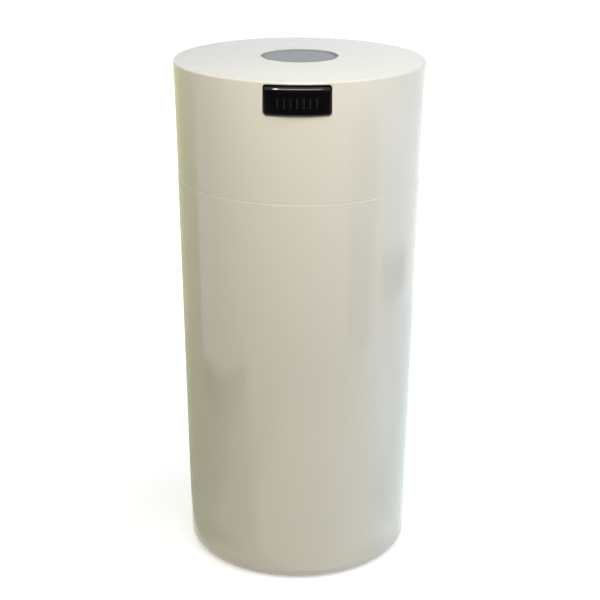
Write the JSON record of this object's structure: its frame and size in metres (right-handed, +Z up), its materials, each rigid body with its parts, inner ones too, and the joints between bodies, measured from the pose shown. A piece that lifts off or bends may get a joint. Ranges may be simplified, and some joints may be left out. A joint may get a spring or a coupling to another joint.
{
  "type": "vacuum seal canister",
  "caption": "Tall tapered food canister with a double wall, a piston lid that lifts off and turns, a lip seal, and a push button that opens a vent valve in the lid.",
  "frame": {"origin": "centre of the base, on the surface that the canister stands on", "axes": "+Z up along the canister's axis, -Y towards the button at the front"},
  "size_m": [0.134, 0.1357, 0.2798],
  "materials": {
    "jacket_white": "glossy moulded cream white",
    "liner_white": "satin moulded white",
    "seal_rubber": "matt grey silicone",
    "badge_grey": "satin grey with fine rings",
    "button_black": "glossy black",
    "mechanism_plastic": "natural bearing plastic",
    "spring_steel": "bright drawn wire",
    "screw_steel": "zinc plated"
  },
  "bodies": {
    "canister": {"outer_shell": "jacket_white", "inner_liner": "liner_white"},
    "seal": {"seal_ring": "seal_rubber"},
    "lid": {"lid_cap": "jacket_white", "lid_plug": "liner_white", "badge": "badge_grey", "lid_screws": "screw_steel", "valve_bridge": "mechanism_plastic", "bridge_screws": "screw_steel", "button_spring": "spring_steel", "valve_spring": "spring_steel"},
    "button": {"push_button": "button_black", "button_slider": "mechanism_plastic"},
    "valve": {"valve_stem": "mechanism_plastic", "lift_pin": "spring_steel", "valve_stopper": "seal_rubber"}
  },
  "joints": [
    {"name": "lid_lift", "type": "slide", "parent": "canister", "child": "seal", "axis": [0, 0, 1], "range_m": [0, 0.12]},
    {"name": "lid_turn", "type": "hinge", "parent": "seal", "child": "lid", "pos_m": [0, 0, 0.2431], "axis": [0, 0, 1], "continuous": true},
    {"name": "button_press", "type": "slide", "parent": "lid", "child": "button", "axis": [0, 1, 0], "range_m": [0, 0.004], "stiffness_N_per_m": 400, "springref_m": -0.004, "deforming": ["button_spring"]},
    {"name": "valve_lift", "type": "slide", "parent": "lid", "child": "valve", "axis": [0, 0, 1], "range_m": [0, 0.002], "deforming": ["valve_spring"]}
  ],
  "couplings": [
    {"joint": "valve_lift", "follows": "button_press", "ratio": 0.5}
  ]
}
